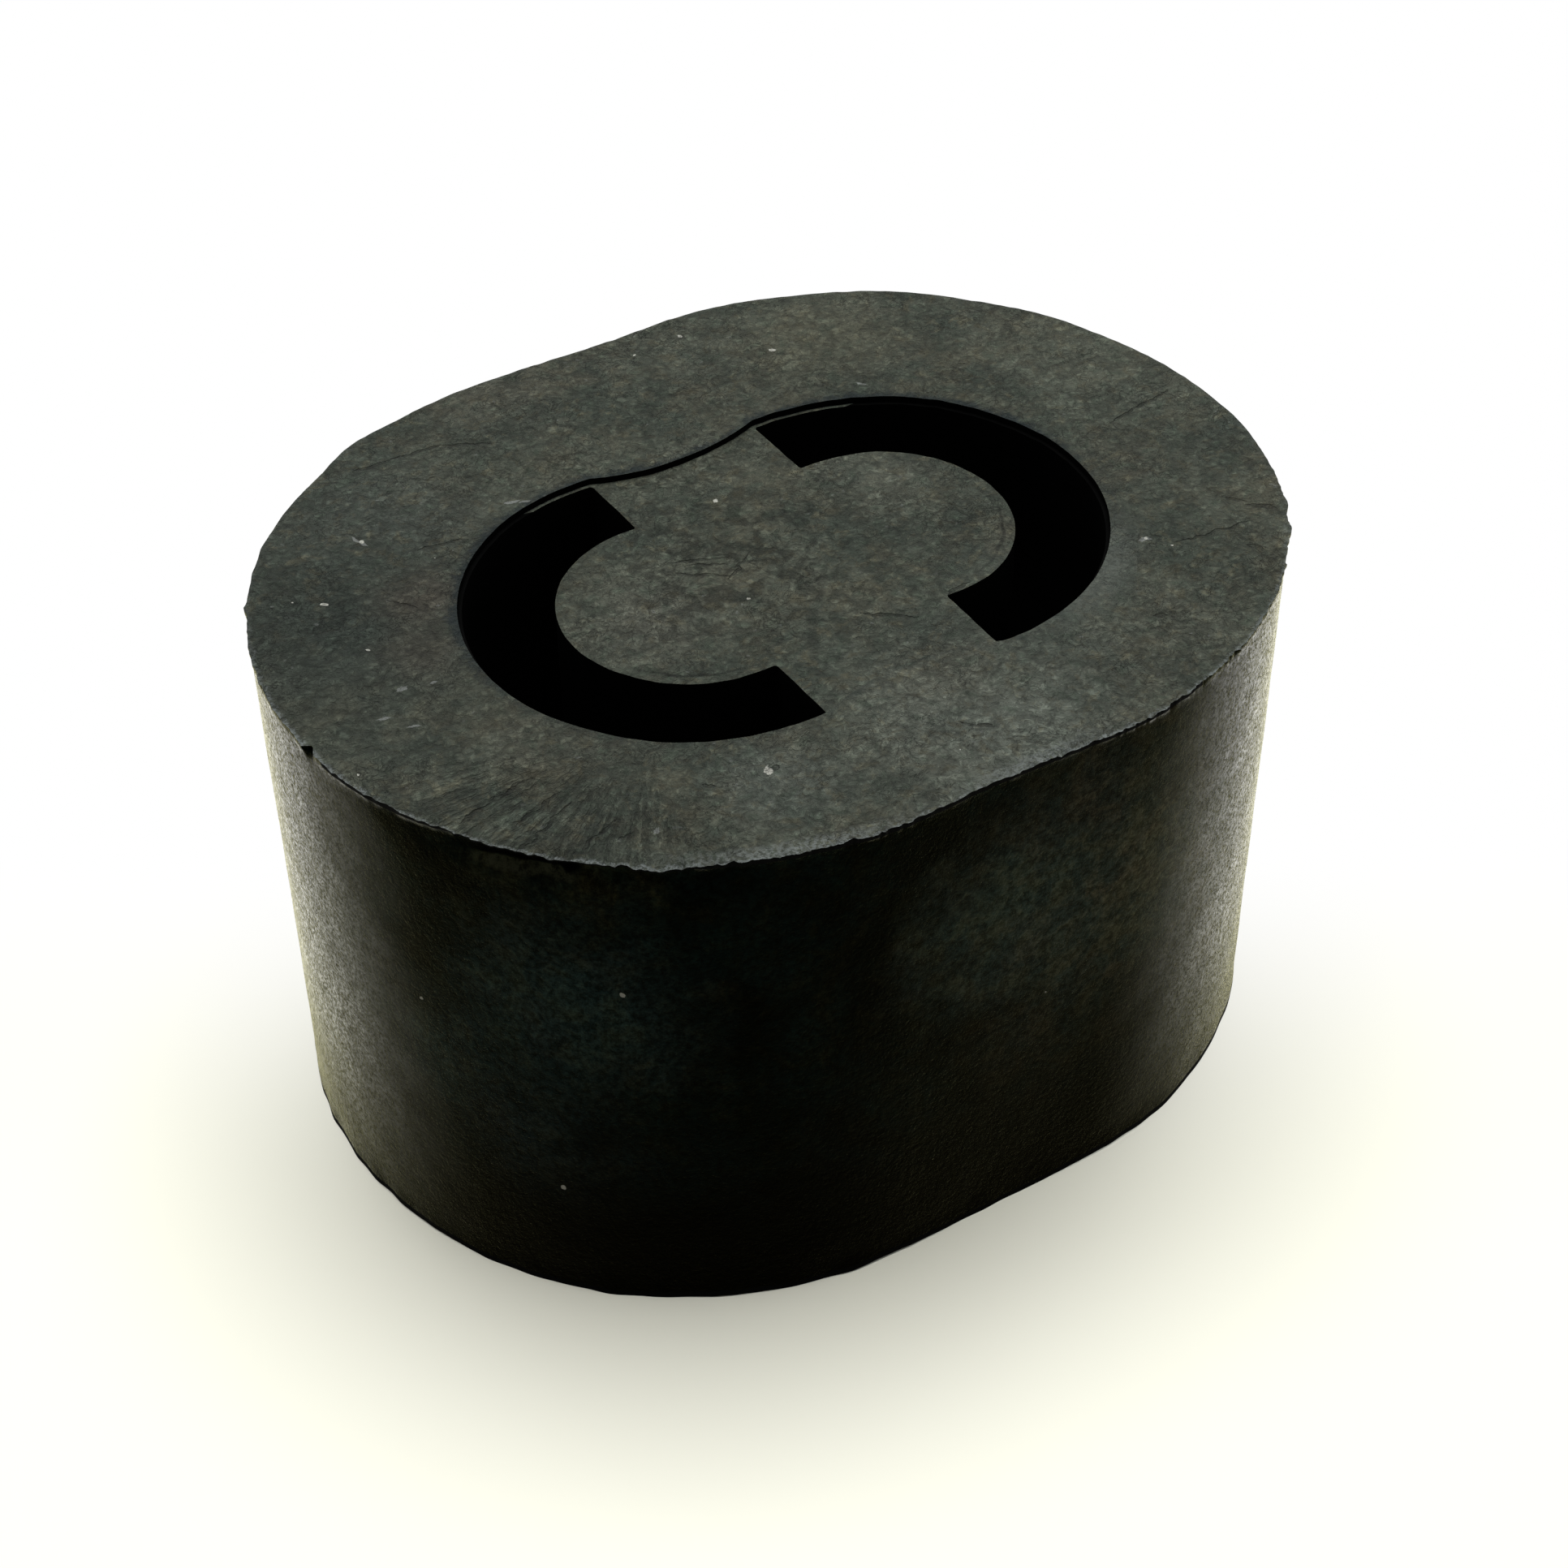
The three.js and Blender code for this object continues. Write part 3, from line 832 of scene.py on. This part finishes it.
def moulded_material():
    """Almost black skin, bluish here and brown there, with a fine leathery grain. Seen at a
    glancing angle it takes a warm bloom and a soft gloss, a clear coat that fades out face on. Its
    colour is painted darker towards the foot as painted shade, with a painted highlight on a fold
    and a painted shadow in the gap under the near edge."""
    material, tree, shader = new_material("moulded_rubber")
    place = millimetres(tree)
    upright = node(tree, "VectorMath", {0: place, 1: (1, 1, 0.6)}, operation="MULTIPLY").outputs[0]
    grain = noise(tree, place, 2.4, 4, 0.8)
    streaks = noise(tree, upright, 0.9, 4, 0.7)
    patches = noise(tree, place, 0.10, 5, 0.65, 0.5)
    spots = noise(tree, place, 0.5, 5, 0.7, 0.5)
    uneven = shaken(tree, place, 1.0, 1.0)
    drifting = shaken(tree, place, 0.3, 8.0)

    def patch(place, centre, reach):
        return place_group(
            tree, NEAR_PLACE, Place=place, Centre=centre, Reach=reach, Rise=1.0
        ).outputs[0]

    # Colour: blue-black, brown towards the flank, taken to black at the foot by painted shade, and
    # crumbs of dust
    mottle = ramp(tree, patches, 0.40, 0.62)
    colour = blend_colour(tree, mottle, SKIN_BLACK, SKIN_BLUE)
    for centre, reach, share, shade in SKIN_PATCHES:
        here = times(tree, patch(drifting, centre, reach), share)
        here = times(tree, here, ramp(tree, spots, 0.35, 0.65, 0.5, 1.2))
        colour = blend_colour(tree, here, colour, shade)
    colour = blend_colour(tree, ramp(tree, spots, 0.52, 0.70, 0, 0.25), colour, SKIN_SPOTS)
    drift = noise(tree, place, 0.22, 4, 0.6)
    for share, cold, warm in (
        (ramp(tree, spots, 0.38, 0.62), COLD_TINT, WARM_TINT),
        (ramp(tree, drift, 0.42, 0.58), COLD_DRIFT, WARM_DRIFT),
    ):
        tint = blend_colour(tree, share, cold, warm)
        colour = blend_colour(tree, 1.0, colour, tint, "MULTIPLY")
    # Painted shade: the colour fades to black from 20 mm down to 1 mm above the floor, varied by
    # the grain
    height = node(tree, "SeparateXYZ", {0: place}).outputs[2]
    shade = times(
        tree, ramp(tree, height, 1.0, 20.0, 0.0, 1), ramp(tree, grain, 0.35, 0.70, 0.42, 2.0)
    )
    shade = node(tree, "CombineColor", {0: shade, 1: shade, 2: shade}).outputs[0]
    colour = blend_colour(tree, 1.0, colour, shade, "MULTIPLY")

    # Under the near edge a painted highlight on a fold of torn skin, with a painted shadow in the
    # gap above it
    level = calculate(tree, "MULTIPLY_ADD", spots, 0.4, height)
    hollow = patch(uneven, FOLD_PLACE, 5.0)
    fold_highlight = times(
        tree, ramp(tree, level, 33.7, 34.1), ramp(tree, level, 34.55, 34.35),
        ramp(tree, hollow, 0.15, 0.7), ramp(tree, grain, 0.35, 0.6, 0.2, 1),
    )
    colour = blend_colour(tree, fold_highlight, colour, FOLD_HIGHLIGHT_COLOUR)
    gap = times(tree, ramp(tree, level, 34.4, 34.6), ramp(tree, hollow, 0.10, 0.5))
    colour = blend_colour(tree, gap, colour, GAP_SHADOW_COLOUR)
    specks = place_group(tree, DUST_SPECKS, Place=uneven, Cells=0.4, Radius=0.08, Share=0.06)
    grit = highest(tree, [specks.outputs[0]] + [
        ramp(tree, patch(uneven, centre, reach * 2), 0.4, 0.6) for centre, reach in SKIN_GRIT
    ])
    colour = blend_colour(tree, times(tree, grit, 0.5), colour, SKIN_GRIT_COLOUR)

    # Relief, and the gloss: uneven, fading face on, towards the foot and at the very edge
    relief = calculate(tree, "MULTIPLY_ADD", grain, 0.8, times(tree, streaks, 0.4))
    bump = node(tree, "Bump", {"Height": relief, "Distance": 0.1 * MM, "Strength": 1.0})
    facing = node(tree, "LayerWeight", {"Blend": 0.5}).outputs["Facing"]
    fine = ramp(tree, noise(tree, place, 4.2, 3, 0.8), 0.35, 0.65, -1, 1)
    lively = ramp(tree, facing, 0.50, 0.80, 0.35, 1.05)
    gloss = times(
        tree, ramp(tree, facing, 0.46, 0.82, 0.0, 0.82), ramp(tree, streaks, 0.3, 0.7, 0.8, 1.1),
        calculate(tree, "MULTIPLY_ADD", fine, lively, 1),
        ramp(tree, noise(tree, place, 1.1, 3, 0.7), 0.35, 0.65, 0.76, 1.20),
        ramp(tree, height, 1.0, 15.0, 0.32, 1),
        ramp(tree, height, BLOCK_HEIGHT - 0.1, BLOCK_HEIGHT - 0.7),
    )
    tree.links.new(gloss, shader.inputs["Coat Weight"])
    tree.links.new(bump.outputs[0], shader.inputs["Normal"])
    tree.links.new(colour, shader.inputs["Base Color"])
    tree.links.new(ramp(tree, grain, 0.3, 0.7, 0.5, 0.7), shader.inputs["Roughness"])
    shader.inputs["Specular IOR Level"].default_value = 0.0
    shader.inputs["Coat Roughness"].default_value = 0.2
    shader.inputs["Sheen Weight"].default_value = 0.55
    shader.inputs["Sheen Roughness"].default_value = 0.26
    shader.inputs["Sheen Tint"].default_value = (1, 0.95, 0.50, 1)
    return material


def slot_and_shade_material():
    """The walls of the slots and the step round the core: the same skin, never dusty. The same
    near-black finish is laid as painted shade at the foot, under the near edge and on the ledge.
    """
    material, tree, shader = new_material("slot_rubber_and_painted_shade")
    grain = noise(tree, millimetres(tree), 1.5, 3, 0.6)
    colour = blend_colour(tree, grain, SLOT_DARK, SLOT_LIGHT)
    tree.links.new(colour, shader.inputs["Base Color"])
    shader.inputs["Roughness"].default_value = 0.6
    shader.inputs["Specular IOR Level"].default_value = 0.01
    return material


for material in (cut_material(), moulded_material(), slot_and_shade_material()):
    block_mesh.materials.append(material)

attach(block, "root")
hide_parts("hanger_block")

# The floor and the light
# A pale floor that runs out of sight, a large soft lamp above and behind the block, and an
# even surround. Behind and beside the block the floor fades into the white background.

FLOOR_HALF = 0.6
FLOOR_COLOUR = (0.9, 0.895, 0.78, 1)
NEAR_WHITE, FAR_WHITE = (1, 1, 0.86), (1, 1, 1)
BACKWARDS = (-np.sin(CAMERA_AZIMUTH), np.cos(CAMERA_AZIMUTH))  # level, away from the camera
LAMP_PLACE = Vector((0.04, 0.07, 0.65))  # in metres; the lamp faces the origin
LAMP_SIZE = 0.5
LAMP_POWER = 4.9

floor_mesh = bpy.data.meshes.new("floor")
floor_mesh.from_pydata(
    [(-FLOOR_HALF, -FLOOR_HALF, 0), (FLOOR_HALF, -FLOOR_HALF, 0),
     (FLOOR_HALF, FLOOR_HALF, 0), (-FLOOR_HALF, FLOOR_HALF, 0)],
    [], [(0, 1, 2, 3)],
)
floor = bpy.data.objects.new("floor", floor_mesh)
bpy.context.scene.collection.objects.link(floor)


def seen(tree):
    """1 on rays from the camera, off a gloss or through a clear body, 0 on the light's own."""
    path = node(tree, "LightPath").outputs
    kinds = [path["Is Camera Ray"], path["Is Glossy Ray"], path["Is Transmission Ray"]]
    return highest(tree, kinds)


def reach_along(tree, vector, direction):
    """How far the vector reaches in a direction: their dot product."""
    values = {0: vector, 1: direction}
    return node(tree, "VectorMath", values, operation="DOT_PRODUCT").outputs["Value"]


floor_material, tree, shader = new_material("floor_paper")
shader.inputs["Base Color"].default_value = FLOOR_COLOUR
shader.inputs["Roughness"].default_value = 0.9
shader.inputs["Specular IOR Level"].default_value = 0.0
place = millimetres(tree)
behind = reach_along(tree, place, (*BACKWARDS, 0))
away = node(tree, "VectorMath", {0: place}, operation="LENGTH").outputs["Value"]
back_fade = calculate(tree, "MAXIMUM", ramp(tree, behind, -30, 12), ramp(tree, away, 130, 330))
fade = calculate(tree, "MAXIMUM", back_fade, ramp(tree, away, 47, 110, 0, 0.5))
paleness = blend_colour(tree, back_fade, NEAR_WHITE, FAR_WHITE)
white = node(tree, "Emission", {"Color": paleness, "Strength": 1.0})
mixed = node(tree, "MixShader", {
    0: times(tree, seen(tree), fade), 1: shader.outputs[0], 2: white.outputs[0],
})
tree.links.new(mixed.outputs[0], tree.nodes["Material Output"].inputs["Surface"])
floor_mesh.materials.append(floor_material)

lamp_data = bpy.data.lights.new("key_lamp", "AREA")
lamp_data.size = LAMP_SIZE
lamp_data.energy = LAMP_POWER
lamp = bpy.data.objects.new("key_lamp", lamp_data)
lamp.location = LAMP_PLACE
lamp.rotation_euler = (-LAMP_PLACE).to_track_quat("-Z", "Y").to_euler()
bpy.context.scene.collection.objects.link(lamp)

world = bpy.data.worlds.new("studio")
world.use_nodes = True
bpy.context.scene.world = world
tree = world.node_tree
tree.nodes.clear()
white = node(tree, "Background", {"Color": (*FAR_WHITE, 1), "Strength": 1.0})
heading = node(tree, "TexCoord").outputs["Generated"]
strength = ramp(tree, reach_along(tree, heading, (*BACKWARDS, 0.4)), -0.6, 1.0, 0.08, 0.62)
light = node(tree, "Background", {"Color": (*FAR_WHITE, 1), "Strength": strength})
chosen = node(tree, "MixShader", {0: seen(tree), 1: light.outputs[0], 2: white.outputs[0]})
made = node(tree, "OutputWorld")
tree.links.new(chosen.outputs[0], made.inputs["Surface"])

bpy.context.scene.view_settings.view_transform = "Standard"
